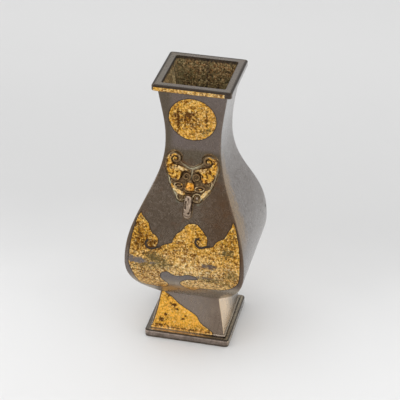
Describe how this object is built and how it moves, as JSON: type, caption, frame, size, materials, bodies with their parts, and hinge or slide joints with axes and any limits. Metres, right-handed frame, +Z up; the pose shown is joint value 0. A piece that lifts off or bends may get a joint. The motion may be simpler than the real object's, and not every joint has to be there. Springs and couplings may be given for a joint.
{
  "type": "gilt bronze square vase",
  "caption": "Hollow cast vase of square section with a flared foot, pear-shaped belly, waisted neck, flat lip and an animal mask front and back.",
  "frame": {"origin": "centre of the plinth's underside", "axes": "+Z up the vase, the front with the gilded front mask faces -Y, +X to its right"},
  "size_m": [0.072, 0.072, 0.17],
  "materials": {
    "bronze": "cast bronze with a dark brown patina, worn gilding on the front and corrosion inside",
    "gilding": "cast bronze, gilt on its raised forms, dark in its recesses"
  },
  "bodies": {
    "root": {"vase_body": "bronze", "front_mask": "gilding", "back_mask": "gilding"}
  },
  "joints": []
}
